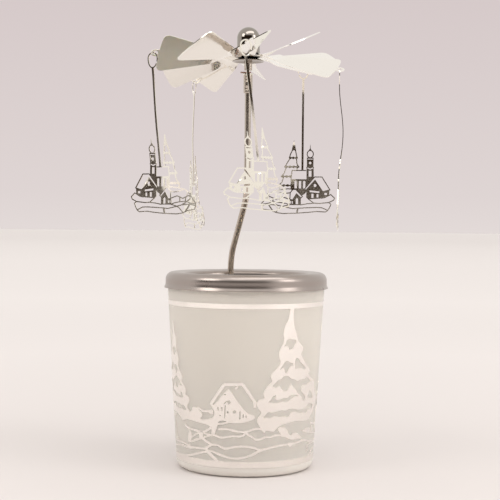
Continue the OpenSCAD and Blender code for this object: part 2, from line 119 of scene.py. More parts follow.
# Painted shade: the paper's colour is darkest within about 10 cm of the object, as a painted shadow round
# its foot. It lightens to its brightest from 1.1 to 2.5 m out and dims a little again beyond, as a painted
# falloff of the light.
place = add("ShaderNodeTexCoord").outputs["Object"]
distance = add("ShaderNodeVectorMath", {0: place}, operation="LENGTH").outputs["Value"]
ten_metres = add("ShaderNodeMapRange", {0: distance, 1: 0.0, 2: 10.0})
floor_shade_ramp = add("ShaderNodeValToRGB", {0: ten_metres.outputs[0]})
ends = [(0.010, (0.74, 0.70, 0.69, 1)), (0.6, (0.92, 0.88, 0.87, 1))]
between = [(0.045, (0.89, 0.85, 0.84, 1)), (0.11, (1.0, 0.96, 0.95, 1)), (0.25, (1.0, 0.96, 0.95, 1))]
for stop, (reach, shade) in zip(floor_shade_ramp.color_ramp.elements, ends):
    stop.position, stop.color = reach, shade
for reach, shade in between:
    floor_shade_ramp.color_ramp.elements.new(reach).color = shade
tooth = add("ShaderNodeTexNoise", {"Vector": place, "Scale": 900.0, "Detail": 2.0})
dimple = add("ShaderNodeBump", {"Height": tooth.outputs[0], "Strength": 0.1, "Distance": 0.0002})
shader = add("ShaderNodeBsdfPrincipled", {
    "Base Color": floor_shade_ramp.outputs[0], "Roughness": 0.75, "Specular IOR Level": 0.25,
    "Normal": dimple.outputs[0]})
add("ShaderNodeOutputMaterial", {0: shader.outputs[0]})
floor.data.materials.append(paper)

for name, place, aim, wide, deep, power, colour in [
        ("softbox_left", (-0.55, -0.35, 0.50), (0, 0, 0.10), 0.32, 0.32, 1.0, (1.0, 0.97, 0.93)),
        ("softbox_right", (0.60, -0.30, 0.38), (0, 0, 0.09), 0.26, 0.26, 0.7, (1.0, 0.97, 0.94)),
        ("softbox_top", (0.14, -0.30, 0.75), (0, 0, 0.08), 0.90, 0.30, 1.75, (1.0, 0.98, 0.96))]:
    lamp = bpy.data.lights.new(name, "AREA")
    lamp.shape = "RECTANGLE"
    lamp.size, lamp.size_y = wide, deep
    lamp.energy = power
    lamp.color = colour
    box = bpy.data.objects.new(name, lamp)
    bpy.context.scene.collection.objects.link(box)
    box.location = place
    box.rotation_euler = (Vector(aim) - Vector(place)).to_track_quat("-Z", "Y").to_euler()

# ---- Glass ----
# A pressed soda-lime tumbler, tapered, with a rounded heel and a thick floor. The outside is acid
# etched, so it glows softly and hides the tea light; the rim is fire polished, under the lid.
GLASS_RIM_R, GLASS_HEEL_R, GLASS_HEEL_Z, GLASS_RIM_Z = 31.5, 27.3, 3.4, 75.4


def mm(*values):
    return Vector([v / 1000 for v in values])


def glass_radius(height):
    share = (height - GLASS_HEEL_Z) / (GLASS_RIM_Z - GLASS_HEEL_Z)
    return GLASS_HEEL_R + (GLASS_RIM_R - GLASS_HEEL_R) * share


def rounded(cx, cz, r, start, stop, steps=8):
    """Points of a rounded corner in a turned profile, as (radius, height)."""
    turns = [math.radians(start + (stop - start) * i / steps) for i in range(steps + 1)]
    return [(cx + r * math.cos(a), cz + r * math.sin(a)) for a in turns]


def turned(name, profile, sides=128, smooth=35):
    """A turned piece: a ring of edges drawn step by step through the profile, then closed on itself."""
    bpy.ops.object.select_all(action="DESELECT")
    radius, height = max(profile[0][0], 0.0005), profile[0][1]
    bpy.ops.mesh.primitive_circle_add(vertices=sides, radius=radius / 1000)
    piece = bpy.context.object
    piece.name = name
    bpy.ops.object.mode_set(mode="EDIT")
    bpy.ops.mesh.select_all(action="SELECT")
    bpy.ops.transform.translate(value=(0, 0, height / 1000))
    for r, z in profile[1:] + profile[:1]:
        r = max(r, 0.0005)
        bpy.ops.mesh.extrude_region_move(TRANSFORM_OT_translate={"value": (0, 0, (z - height) / 1000)})
        bpy.ops.transform.resize(value=(r / radius, r / radius, 1), center_override=(0, 0, 0))
        radius, height = r, z
    bpy.ops.mesh.select_all(action="SELECT")
    bpy.ops.mesh.remove_doubles(threshold=2e-6)
    bpy.ops.mesh.normals_make_consistent(inside=False)
    bpy.ops.object.mode_set(mode="OBJECT")
    bpy.ops.object.shade_smooth_by_angle(angle=math.radians(smooth))
    return piece


def finish(name, colour, metallic=0.0, rough=(0.3, 0.4), spots=60.0, grain=(), tint=None, along=None,
           **sockets):
    """A surface finish: its roughness and colour drift in soft spots, and its grain is a list of bumps,
    each (scale, depth in mm, strength, stretch). along="turned" makes the grain follow a lathe's lines."""
    material = bpy.data.materials.new(name)
    tree, add = node_tree(material)
    place = add("ShaderNodeTexCoord").outputs["Object"]
    if along == "turned":
        split = add("ShaderNodeSeparateXYZ", {0: place})
        flat = add("ShaderNodeCombineXYZ", {0: split.outputs[0], 1: split.outputs[1]})
        out = add("ShaderNodeVectorMath", {0: flat.outputs[0]}, operation="LENGTH").outputs["Value"]
        lines = add("ShaderNodeCombineXYZ", {0: out, 1: split.outputs[2]}).outputs[0]
    else:
        lines = place
    drift = add("ShaderNodeTexNoise", {"Vector": place, "Scale": spots, "Detail": 4.0, "Roughness": 0.6})
    spread = add("ShaderNodeMapRange", {0: drift.outputs[0], 1: 0.3, 2: 0.7, 3: rough[0], 4: rough[1]})
    inputs = {"Roughness": spread.outputs[0], "Metallic": metallic, **sockets}
    if tint:
        inputs["Base Color"] = add("ShaderNodeMix", {
            0: drift.outputs[0], 6: (*colour, 1), 7: (*tint, 1)}, data_type="RGBA").outputs[2]
    else:
        inputs["Base Color"] = (*colour, 1)
    normal = None
    for scale, depth, strength, stretch in grain:
        spot = add("ShaderNodeMapping", {0: lines, 3: stretch}).outputs[0]
        rise = add("ShaderNodeTexNoise", {"Vector": spot, "Scale": scale, "Detail": 3.0})
        settings = {"Height": rise.outputs[0], "Strength": strength, "Distance": depth / 1000}
        if normal:
            settings["Normal"] = normal
        normal = add("ShaderNodeBump", settings).outputs[0]
    if normal:
        inputs["Normal"] = normal
    shader = add("ShaderNodeBsdfPrincipled", inputs)
    add("ShaderNodeOutputMaterial", {0: shader.outputs[0]})
    return material


def dress(piece, material, body, slot, *nodes):
    """Gives the piece its finish, lets it ride its body, and stands it in for the named solids."""
    piece.data.materials.clear()
    piece.data.materials.append(material)
    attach(piece, body)
    if nodes:
        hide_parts(*nodes)


glass_profile = (
    [(0, 0), (20.5, 0), (22.5, 0)]
    + rounded(GLASS_HEEL_R - 3.4, 3.4, 3.4, -82, 0, 9)
    + [(glass_radius(z), z) for z in (18, 33, 48, 62)]
    + rounded(GLASS_RIM_R - 1.1, GLASS_RIM_Z, 1.1, 0, 180, 10)
    + [(glass_radius(z) - 2.2, z) for z in (60, 45, 30, 15)]
    + rounded(25.4 - 3, 8, 3, 0, -90, 6)
    + [(14, 5), (0, 5)])
etched_glass = finish(
    "etched_glass", (1.0, 0.965, 0.905), rough=(0.50, 0.58), spots=40.0,
    grain=[(2600.0, 0.02, 0.25, (1, 1, 1)), (90.0, 0.15, 0.08, (1, 1, 0.4))],
    IOR=1.5)
# The heel is the thickest glass, so the least light comes through it.
heel_tree = etched_glass.node_tree
place = heel_tree.nodes.new("ShaderNodeTexCoord").outputs["Object"]
apart = heel_tree.nodes.new("ShaderNodeSeparateXYZ")
heel_tree.links.new(place, apart.inputs[0])
clear = heel_tree.nodes.new("ShaderNodeMapRange")
clear.interpolation_type = "SMOOTHSTEP"
heel_tree.links.new(apart.outputs["Z"], clear.inputs[0])
for socket, value in enumerate((0.002, 0.009, 0.12, 0.42), 1):
    clear.inputs[socket].default_value = value
heel_tree.links.new(clear.outputs[0], heel_tree.nodes["Principled BSDF"].inputs["Transmission Weight"])
tumbler = turned("frosted_tumbler", glass_profile)
dress(tumbler, etched_glass, "glass", "frosted_glass", "glass_cup")

# ---- Silver print ----
# A fired mirror-silver winter scene on the outside of the glass: two plain bands, and between them
# snowy firs, a cottage, a fence and drifts, twice round. Each shape is drawn flat, as (distance round,
# height) in mm on a roll of 30 mm radius, then cut in narrow strips and laid round the taper.
ROLL_R = 30.0
REPEAT = math.pi * ROLL_R
FIR_EDGE = [(17.8, 65.9), (17.4, 64.5), (17.1, 63), (16.6, 60.3), (15.4, 58.7), (14.9, 56.5),
    (14.7, 54.7), (15.3, 53.6), (15.1, 52.3), (14.3, 50.7), (13.1, 48.5), (13.3, 46.1), (14.1, 44.8),
    (13.6, 43.4), (12, 41.6), (10.9, 40.9), (10.2, 39.7), (9.9, 39.2), (10.6, 37.7), (11, 37.2),
    (9.4, 36), (8.2, 34.8), (7.4, 33.4), (7.2, 32.8), (7.5, 31.5), (8, 30.9), (6.3, 30.4), (5.2, 30.5),
    (5.3, 29.9), (4.5, 29.1), (4.9, 27.6), (5.8, 26.4), (6.8, 25.3), (6, 24.5), (5, 23), (4.9, 22.2),
    (5.5, 20.7), (6.6, 19.3), (7.8, 18.5), (9.6, 18.3), (12.2, 17.8), (12.9, 18.8), (14.4, 19.8),
    (17.1, 20.6), (19.9, 21), (23.2, 21.2), (30.8, 20.4), (33.2, 21.5), (34.6, 23.2), (36.7, 24.7),
    (38.1, 25.8), (39.1, 27.4), (40.6, 28.1), (37.5, 29.7), (36, 32.7), (35.1, 35.4), (33.5, 36.4),
    (30.7, 38.2), (28.9, 39.2), (30.8, 40.2), (27.3, 42.9), (25.2, 45.3), (23.9, 47), (24.7, 48.3),
    (25.2, 49.4), (23.6, 50.8), (22, 52.2), (21.3, 54), (20.5, 56.1), (19.7, 57.8), (19.1, 60.8),
    (19, 63.5), (19.2, 65.3)]
FIR_GAPS = [
    [(18.1, 53.5), (19, 52.9), (20.2, 53), (21, 52.2), (20.8, 51.3), (20.1, 50.8), (19.7, 49.7),
     (17.9, 49), (17.4, 49.4), (17.5, 50.4), (16.2, 50.6), (15.6, 50.3), (15.2, 50.6), (16.2, 51.7),
     (16.1, 52.6), (17, 53)],
    [(17.2, 45), (18.4, 44.1), (19.8, 44), (20.1, 43.4), (19.7, 42.8), (18.9, 43), (17.8, 41.9),
     (17.2, 40.4), (16.6, 39.9), (15.9, 40.7), (15.8, 42.4), (14.7, 41.9), (13.7, 41.4), (14.3, 42.2),
     (15.3, 43.7), (15.9, 44.6)],
    [(21.9, 45.8), (23.6, 44.8), (23.3, 44.1), (25.4, 42.9), (27.1, 41.6), (27, 40.9), (25.6, 41.2),
     (24.4, 41.8), (23.3, 41.5), (21.9, 41.8), (21.5, 41.3), (20.8, 42.3), (20.9, 43.5), (20.9, 45.2)],
    [(16.4, 39.2), (18, 38.9), (19.4, 37.8), (21.4, 37.4), (22.6, 36.5), (24.4, 37.3), (26.8, 37.2),
     (28.3, 38), (32, 36.1), (31.3, 35.7), (29, 35.4), (28.2, 34.8), (26.5, 35.1), (24.8, 34.5),
     (25.2, 32.6), (27.1, 31.1), (28.4, 29.9), (27.7, 28.7), (26.8, 28.6), (25.3, 30.9), (23.3, 31.5),
     (22.6, 33), (20.7, 34.2), (19.8, 35.7), (18.8, 35.8), (18.3, 34.6), (17.7, 33.6), (16.5, 33.2),
     (15.2, 33.6), (14.4, 35), (13.6, 35.7), (13, 34.9), (11.6, 34.7), (10.6, 35.4), (12.2, 36.6),
     (13.3, 37.8), (14.5, 37.9), (15.2, 38.7)],
    [(31.5, 32.5), (35, 29.6), (32.5, 28.9), (29, 29.8), (30.6, 31), (30.9, 31.8)],
    [(9, 29.3), (10.4, 30), (11, 31.4), (12.4, 32), (12.6, 31.5), (12.1, 30.9), (12.7, 30.1),
     (14.4, 30.1), (16.1, 30.7), (18.2, 30.6), (19.2, 31.4), (20.9, 31.5), (23, 31.4), (23.4, 30.8),
     (20.9, 30.8), (18.8, 29.5), (16.7, 29), (15.1, 29.5), (13.7, 28.9), (11.8, 28.8), (10.6, 29.1)],
    [(7.1, 23.4), (8.5, 24.6), (9.4, 25.6), (11, 25.2), (12.9, 25.5), (15.6, 26.1), (17.1, 25.5),
     (19.2, 26.4), (21.3, 26.1), (23.5, 25.5), (26.6, 25.4), (29.6, 26.4), (31.3, 27.3), (35.3, 26.5),
     (34.6, 24.9), (33.2, 24.7), (31.5, 25.5), (30.3, 24.6), (29.5, 23.4), (27.8, 24.3), (25.6, 23.9),
     (23.9, 24.4), (21.3, 25.1), (19.9, 24.8), (19.1, 23.6), (18.4, 23), (16.7, 23.6), (14.4, 23.3),
     (12.7, 23.8), (11.5, 23.9), (10.8, 23.2), (8.8, 23.4)],
]
COTTAGE_FRONT = [(-12.1, 28.1), (-6.8, 34.5), (-5.5, 33.7), (-3.8, 31), (-1.9, 28.5), (-0, 26.2),
    (1.6, 24.9), (4.1, 24.4), (4.1, 23.1), (1.9, 22.1), (-1.9, 21.3), (-4.6, 21.2), (-6.8, 21.7),
    (-8.4, 22.2), (-10.7, 21.8), (-11, 20.4), (-11.7, 18.6), (-12.6, 16.4), (-14.1, 16.6), (-13.8, 18.4),
    (-15, 19.9), (-16.9, 20.2), (-19.6, 20.5), (-23, 20.9), (-27.3, 21.2), (-31.5, 21.4), (-32.3, 23.2),
    (-28.6, 23.1), (-27, 24.9), (-24, 24.2), (-23.3, 26.4), (-20.8, 26.1), (-18.1, 24.3), (-18.1, 23.2),
    (-19.5, 22.3), (-18.2, 21.7), (-13.7, 22.6), (-12.5, 23.7), (-12.4, 25.7), (-13.1, 26.2),
    (-13.9, 27.7)]
COTTAGE_GAPS = [
    [(-8.1, 28), (-7.4, 28.1), (-7.7, 25.5), (-7.9, 23), (-8.3, 23), (-8.2, 25.5)],
    [(-7.2, 25.8), (-6.5, 25.8), (-6.3, 25.2), (-6.9, 24.9), (-7.2, 25.1)],
    [(-4.8, 26.1), (-3.8, 26.3), (-3.4, 25.6), (-3.9, 25), (-4.8, 25.1)],
    [(-2.2, 25.9), (-1.6, 25.9), (-1.6, 22.9), (-2.3, 22.8)],
    [(-0.9, 24.9), (-0.4, 24.8), (-0.4, 23.4), (-0.9, 23.4)],
    [(0.3, 24.5), (0.7, 24.4), (0.8, 23.4), (0.3, 23.4)],
    [(-11.2, 27.2), (-10.6, 27.3), (-10.5, 25.9), (-11.1, 25.8)],
    [(-9.5, 27.2), (-8.9, 27.2), (-8.9, 25.9), (-9.4, 25.9)],
    [(-10.4, 24.2), (-9.7, 24.2), (-9.7, 23.8), (-10.3, 23.8)],
    [(-8.8, 28.3), (-7.7, 29.6), (-6, 30.1), (-5.5, 29.2), (-6.5, 28.2), (-7.1, 29.5), (-7.7, 28.6)],
    [(-8.1, 32.5), (-7.4, 32.2), (-7.7, 31.7), (-8.3, 32.1)],
    [(-15.2, 24.9), (-13, 25.2), (-12.9, 24.5), (-14.3, 24.3)],
]
DRIFT_SHAPES = [
    [(13.6, 19), (15.1, 19.3), (17, 19.3), (18.4, 18.4), (19, 17.1), (19.9, 15.8), (20.8, 15.9),
     (21.2, 16.7), (24.2, 16.4), (26.9, 14.5), (26.2, 13.8), (24.4, 14.2), (22.2, 13.9), (20.3, 14.2),
     (18.6, 15), (16.9, 15.6), (15.3, 16.6)],
    [(26.6, 17.2), (29.4, 17.3), (31.2, 17.9), (32.8, 17.3), (33.6, 15.9), (37.1, 15.2), (43.9, 14.4),
     (43.8, 13.8), (34.3, 15.1), (27.5, 16.4)],
    [(19, 12.5), (22.3, 12.7), (22.3, 12.1), (20.5, 11.3), (19.3, 11.8)],
    [(-26.2, 16.4), (-24.6, 16.7), (-24.3, 14.8), (-24.9, 12.3), (-27, 12.1), (-26.8, 14.5)],
    [(-19.9, 17.5), (-18, 17.7), (-17.9, 16.2), (-18.3, 14.7), (-20, 14.3), (-20.2, 16)],
]
SNOW_LINES = [
    (1.15, [(-13.9, 27.7), (-13.5, 28.8), (-8.2, 35.9), (-0.9, 36.3), (3.8, 29.6), (4, 27.2)]),
    (1.27, [(-3.5, 35.1), (-3.1, 34.6)]),
    (0.81, [(-11.1, 18.6), (-9, 18.9), (-6.5, 18.9), (-4, 18.3), (-1.6, 18), (0.3, 17.9), (2.5, 18.6),
     (4.2, 19.3), (6.9, 19), (8.3, 17.8)]),
    (0.76, [(-13.2, 16.5), (-11.7, 16.1), (-9.9, 15.5), (-7.9, 15.7), (-5.1, 16.3), (-2.4, 16.2),
     (-0.2, 16.7), (0.3, 17.9)]),
    (0.76, [(0.3, 17.9), (1.7, 16.7), (3.1, 16.1), (4.2, 15.1), (5.1, 15), (6.7, 15.1), (8.7, 16),
     (10.9, 15.7), (12, 16.2), (14.3, 16.4), (16.9, 15.9)]),
    (0.87, [(-18.4, 14.6), (-16.4, 13.5), (-13.9, 12.5), (-11.5, 12.6), (-10, 12), (-8.2, 11.3),
     (-6.2, 11.6), (-3.5, 12.3), (-0.7, 12.4), (2.3, 12.2), (4.3, 11.8), (5.9, 11), (8, 11.1),
     (9.8, 11.5), (12, 11.9), (15.5, 12.3), (19.3, 12.6), (22.3, 12.4), (24.9, 12.7), (28.3, 13.2),
     (31.5, 12.5), (37.2, 11.7), (43.4, 11.4)]),
    (0.84, [(8, 11), (5.9, 10.5), (4.3, 9.7), (2.8, 8.9), (2.6, 9.1), (0.4, 8.2), (-2.3, 7.8),
     (-5.1, 7.7), (-8, 8.2), (-10.9, 9.1), (-13.3, 9.9), (-16.6, 9.6), (-19.4, 8.9), (-22.8, 7.9),
     (-27.3, 6.9), (-32.5, 6.5), (-42.1, 6.1)]),
    (0.84, [(-13.9, 12.5), (-15.2, 11.8), (-17.2, 10.7), (-20.8, 10.6), (-24.8, 10.4), (-26.6, 10.8),
     (-29.6, 11.5), (-34.8, 11.5), (-40.4, 11.4)]),
    (0.76, [(-24, 10.1), (-28.1, 10.1), (-32.1, 10.3), (-41.2, 9.1)]),
    (1.22, [(-16.5, 10.7), (-15.9, 9.7), (-14, 8.3), (-11.3, 6.4)]),
    (0.76, [(-28.9, 18.9), (-27, 18), (-24.4, 17.5), (-21.6, 17.3), (-19, 17), (-16.3, 17.6),
     (-13.8, 19.2)]),
    (0.61, [(-24.6, 14.3), (-22.4, 15.5), (-19.8, 16.7)]),
    (0.68, [(-25.1, 12.4), (-21.4, 13.8), (-18.1, 14.7), (-15.7, 15.7), (-13.2, 16.6)]),
    (0.57, [(-18, 16.8), (-15.7, 16.4), (-13.8, 16.3)]),
    (0.84, [(-20.8, 26.1), (-19.1, 26), (-17.7, 25.1), (-15.5, 25.3), (-13, 25.7)]),
    (0.68, [(-11, 20.7), (-9, 20.8), (-6.5, 21.7), (-4.6, 21.8)]),
    (0.76, [(45.3, 26.6), (43, 23.8), (40.4, 20.7), (40, 18.4), (36.3, 18.6), (33.5, 19.5)]),
    (0.76, [(40, 18.4), (43.4, 15.5), (43.8, 14)]),
    (0.76, [(34.3, 18.6), (35.6, 17.1), (36.3, 15.3)]),
    (0.68, [(39.2, 11.2), (32.8, 10.9), (31.3, 10.2), (33.1, 9.1), (31.6, 8.2)]),
    (0.68, [(42.8, 8.7), (37.3, 8), (33.5, 6.7), (31.9, 6)]),
    (0.76, [(-39, 19.1), (-37.2, 16.4), (-37.3, 13.5), (-35.2, 12)]),
    (0.95, [(-34, 29), (-34.7, 26.6), (-36.6, 22.6), (-38.6, 20.7)]),
]


def mirrored_fir(edge, middle, foot, share, turn=-1):
    """The fir's outline turned over, made smaller by share, and stood at another place."""
    return [(middle + turn * (x - 19.0) * share, foot + (z - 17.8) * share) for x, z in edge]


def flat_shape(name, edges):
    """A flat shape filled between its outer edge and its gaps, as a mesh."""
    bpy.ops.object.select_all(action="DESELECT")
    bpy.ops.curve.primitive_bezier_curve_add()
    drawn = bpy.context.object
    drawn.name = name
    drawn.data.splines.clear()
    drawn.data.dimensions = "2D"
    drawn.data.fill_mode = "BOTH"
    for edge in edges:
        line = drawn.data.splines.new("POLY")
        line.points.add(len(edge) - 1)
        line.use_cyclic_u = True
        for point, (x, z) in zip(line.points, edge):
            point.co = (x, z, 0, 1)
    bpy.ops.object.convert(target="MESH")
    return bpy.context.object


def softened(edge, closed=True):
    """The edge with its corners cut, as paint rounds them."""
    out = []
    pairs = list(zip(edge, edge[1:] + edge[:1])) if closed else list(zip(edge, edge[1:]))
    for a, b in pairs:
        out += [(0.75 * a[0] + 0.25 * b[0], 0.75 * a[1] + 0.25 * b[1]),
                (0.25 * a[0] + 0.75 * b[0], 0.25 * a[1] + 0.75 * b[1])]
    return out if closed else [edge[0]] + out + [edge[-1]]


def brush_stroke(line, width):
    """The outline of a stroke of that width along a line, a little uneven as by hand."""
    fine = []
    for a, b in zip(line, line[1:]):
        parts = max(1, round(math.dist(a, b) / 1.2))
        fine += [(a[0] + (b[0] - a[0]) * i / parts, a[1] + (b[1] - a[1]) * i / parts) for i in range(parts)]
    line = softened(fine + [line[-1]], False)
    left, right = [], []
    for i, (x, z) in enumerate(line):
        before, after = line[max(i - 1, 0)], line[min(i + 1, len(line) - 1)]
        along = Vector((after[0] - before[0], after[1] - before[1])).normalized()
        half = width / 2 * (1 + 0.28 * noise.noise((x * 0.45, z * 0.45, width)))
        left.append((x - along.y * half, z + along.x * half))
        right.append((x + along.y * half, z - along.x * half))
    return left + right[::-1]


def laid_round(piece, lift):
    """Cuts the flat shape in strips 1.5 mm wide and bends it round the taper, lift mm off the glass."""
    xs = [v.co.x for v in piece.data.vertices]
    bpy.ops.object.mode_set(mode="EDIT")
    cut = math.ceil(min(xs) / 1.5) * 1.5
    while cut < max(xs):
        bpy.ops.mesh.select_all(action="SELECT")
        bpy.ops.mesh.bisect(plane_co=(cut, 0, 0), plane_no=(1, 0, 0))
        cut += 1.5
    bpy.ops.object.mode_set(mode="OBJECT")
    for v in piece.data.vertices:
        turn, height = v.co.x / ROLL_R, v.co.y
        r = glass_radius(height) + lift
        v.co = mm(r * math.sin(turn), -r * math.cos(turn), height)


fir_shape = [softened(FIR_EDGE)] + [softened(gap) for gap in FIR_GAPS]
cottage_shape = [softened(COTTAGE_FRONT)] + COTTAGE_GAPS
side_fir = (-36.5, 20.2, 0.80, -1)
layers = []
for start in (0.0, REPEAT):
    shapes = [fir_shape, cottage_shape] + [[softened(shape)] for shape in DRIFT_SHAPES]
    shapes.append([mirrored_fir(edge, *side_fir) for edge in fir_shape])
    shapes += [[brush_stroke(line, width)] for width, line in SNOW_LINES]
    for order, shape in enumerate(shapes):
        moved = [[(x + start, z) for x, z in edge] for edge in shape]
        flat = flat_shape("print_shape", moved)
        laid_round(flat, 0.004 * (order % 12))
        layers.append(flat)
bpy.ops.object.select_all(action="DESELECT")
for flat in layers:
    flat.select_set(True)
bpy.context.view_layer.objects.active = layers[0]
bpy.ops.object.join()
winter_scene = bpy.context.object
winter_scene.name = "silver_winter_scene"
bpy.ops.object.mode_set(mode="EDIT")
bpy.ops.mesh.select_all(action="SELECT")
bpy.ops.mesh.remove_doubles(threshold=1e-7)
bpy.ops.mesh.normals_make_consistent(inside=False)
bpy.ops.object.mode_set(mode="OBJECT")
for face in winter_scene.data.polygons:
    out = Vector((face.center.x, face.center.y, 0))
    if face.normal.dot(out) < 0:
        face.flip()
film = winter_scene.modifiers.new("film", "SOLIDIFY")
film.thickness = 0.00012
film.offset = 1.0
bpy.ops.object.modifier_apply(modifier="film")
bpy.ops.object.shade_smooth_by_angle(angle=math.radians(40))

fired_silver = finish(
    "fired_silver", (0.95, 0.915, 0.875), metallic=1.0, rough=(0.10, 0.22), spots=160.0,
    tint=(0.90, 0.86, 0.81), grain=[(420.0, 0.05, 0.35, (1, 1, 1)), (2200.0, 0.006, 0.2, (1, 1, 1))])
dress(winter_scene, fired_silver, "glass", "silver_print")
for name, low, high in [("silver_band_low", 3.95, 6.4), ("silver_band_high", 64.8, 66.7)]:
    heights = [low + (high - low) * i / 4 for i in range(5)]
    band = turned(name, [(glass_radius(z) - 0.06, z) for z in heights[::-1]]
                  + [(glass_radius(z) + 0.13, z) for z in heights])
    dress(band, fired_silver, "glass", "silver_print")

# ---- Tea light ----
# A stock paraffin tea light in its stamped aluminium cup, with ribs up the side and a rolled edge.
# The wax has sunk a little round a braided cotton wick, whose tin tab stands on the cup's floor.
CUP_R, CUP_LOW, CUP_H = 18.8, 5.02, 16.0
cup_high = CUP_LOW + CUP_H
tea_cup = turned("tea_light_cup", [
    (0, CUP_LOW), (CUP_R - 0.8, CUP_LOW), (CUP_R - 0.2, CUP_LOW + 0.25), (CUP_R, CUP_LOW + 1),
    (CUP_R, CUP_LOW + 5), (CUP_R, CUP_LOW + 10), (CUP_R, cup_high - 0.8), (CUP_R + 0.35, cup_high - 0.5),
    (CUP_R + 0.5, cup_high - 0.25), (CUP_R + 0.3, cup_high), (CUP_R - 0.15, cup_high - 0.1),
    (CUP_R - 0.3, cup_high - 0.6), (CUP_R - 0.3, CUP_LOW + 10), (CUP_R - 0.3, CUP_LOW + 1),
    (CUP_R - 1, CUP_LOW + 0.3), (0, CUP_LOW + 0.3)], sides=192)
for v in tea_cup.data.vertices:
    reach = math.hypot(v.co.x, v.co.y)
    if CUP_LOW + 4 < v.co.z * 1000 < CUP_LOW + 12 and reach > 0.018:
        rib = 0.00012 * (math.cos(48 * math.atan2(v.co.y, v.co.x)) - 1)
        v.co.x *= 1 + rib / reach
        v.co.y *= 1 + rib / reach
stamped_tin = finish("stamped_aluminium", (0.80, 0.80, 0.81), metallic=1.0, rough=(0.22, 0.34), spots=90.0,
                     grain=[(500.0, 0.03, 0.3, (1, 1, 0.2))])
dress(tea_cup, stamped_tin, "tealight", "tin_aluminium", "tealight_cup")

wax_low, wax_high = CUP_LOW + 0.3, CUP_LOW + 0.3 + 12.5
wax = turned("tea_light_wax", [
    (0.9, wax_low + 0.3), (6, wax_low + 0.3), (6, wax_low), (18.5, wax_low), (18.5, wax_high - 0.1),
    (18.2, wax_high), (17, wax_high - 0.25), (12, wax_high - 0.45), (6, wax_high - 0.6),
    (2.5, wax_high - 0.95), (1.5, wax_high - 0.8), (0.9, wax_high - 0.5)], sides=96, smooth=50)
paraffin = finish(
    "paraffin_wax", (0.93, 0.91, 0.86), rough=(0.34, 0.5), spots=120.0, tint=(0.88, 0.86, 0.80),
    grain=[(160.0, 0.2, 0.3, (1, 1, 1))],
    **{"Subsurface Weight": 0.35, "Subsurface Radius": (0.004, 0.003, 0.002), "Subsurface Scale": 1.0})
dress(wax, paraffin, "tealight", "wax", "tealight_wax")

wick = turned("cotton_wick", [
    (0, wax_low), (0.8, wax_low), (0.85, wax_high - 1), (0.7, wax_high), (0.85, wax_high + 1),
    (0.72, wax_high + 2), (0.86, wax_high + 3), (0.74, wax_high + 4), (0.84, wax_high + 5),
    (0.6, wax_high + 5.8), (0, wax_high + 6)], sides=20, smooth=60)
cotton = finish("waxed_cotton", (0.90, 0.87, 0.80), rough=(0.6, 0.8), spots=400.0, tint=(0.72, 0.68, 0.6),
                grain=[(1500.0, 0.1, 0.6, (1, 1, 0.5))])
dress(wick, cotton, "tealight", "wick", "tealight_wick")
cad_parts["wick_tab"].data.materials.clear()
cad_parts["wick_tab"].data.materials.append(stamped_tin)

# ---- Lid ring ----
# Drawn from half-millimetre steel sheet: a rounded shoulder outside, a flat crown, a tighter roll into
# the opening, and a short flared lip that grips the glass. Satin, with turning lines all round.
LID_TOP, LID_R, OPEN_R, SHEET = 77.7, 32.2, 23.8, 0.5
lip_z, skirt_z = LID_TOP - 6.3, LID_TOP - 5
out_c, in_c = (LID_R - 3, LID_TOP - 3), (OPEN_R + 1.8, LID_TOP - 0.4 - 1.8)
lid_profile = (
    [(LID_R + 0.44, lip_z - 0.02), (LID_R + 0.52, lip_z + 0.16), (LID_R + 0.42, lip_z + 0.5),
     (LID_R + 0.12, lip_z + 1.0), (LID_R, lip_z + 1.7), (LID_R, LID_TOP - 3.6)]
    + rounded(*out_c, 3, 0, 90, 12) + rounded(*in_c, 1.8, 90, 180, 10)
    + [(OPEN_R, skirt_z + 1.6), (OPEN_R, skirt_z + 0.4), (OPEN_R + 0.25, skirt_z + 0.02),
       (OPEN_R + SHEET + 0.05, skirt_z + 0.2), (OPEN_R + SHEET, skirt_z + 0.6)]
    + rounded(*in_c, 1.8 - SHEET, 180, 90, 10) + rounded(*out_c, 3 - SHEET, 90, 0, 12)
    + [(LID_R - SHEET, lip_z + 1.7), (LID_R - 0.3, lip_z + 0.8), (LID_R - 0.02, lip_z + 0.2)])
lid = turned("lid_ring_satin", lid_profile, sides=192)
satin_steel = finish(
    "satin_lid_steel", (0.43, 0.38, 0.355), metallic=1.0, rough=(0.25, 0.33), spots=45.0,
    tint=(0.37, 0.325, 0.30), along="turned",
    grain=[(2400.0, 0.012, 0.35, (1, 1, 1)), (600.0, 0.02, 0.08, (1, 1, 1))])
dress(lid, satin_steel, "lid", "lid_steel", "lid_ring")

# ---- Mast ----
# One steel rod: welded by its foot inside the opening's skirt, bent in over the middle, bent back
# upright, and crimped in a sleeve that holds the needle. Semi-bright, as drawn through the die.
ROD_R, FOOT_AZ, BEND, BEND_R = 1.25, math.radians(107), math.radians(42), 15.0
foot_s = OPEN_R - ROD_R - 0.05
foot_bend_z = LID_TOP - 0.3
mid_len = (foot_s - 2 * BEND_R * (1 - math.cos(BEND))) / math.sin(BEND)
top_bend_z = foot_bend_z + 2 * BEND_R * math.sin(BEND) + mid_len * math.cos(BEND)
rod_line = [(foot_s, skirt_z - 0.3), (foot_s, foot_bend_z - 2)]
for i in range(15):
    a = BEND * i / 14
    rod_line.append((foot_s - BEND_R * (1 - math.cos(a)), foot_bend_z + BEND_R * math.sin(a)))
for i in range(15):
    a = BEND * (1 - i / 14)
    rod_line.append((BEND_R * (1 - math.cos(a)), top_bend_z - BEND_R * math.sin(a)))
rod_line += [(0, top_bend_z + 20), (0, 152.4)]


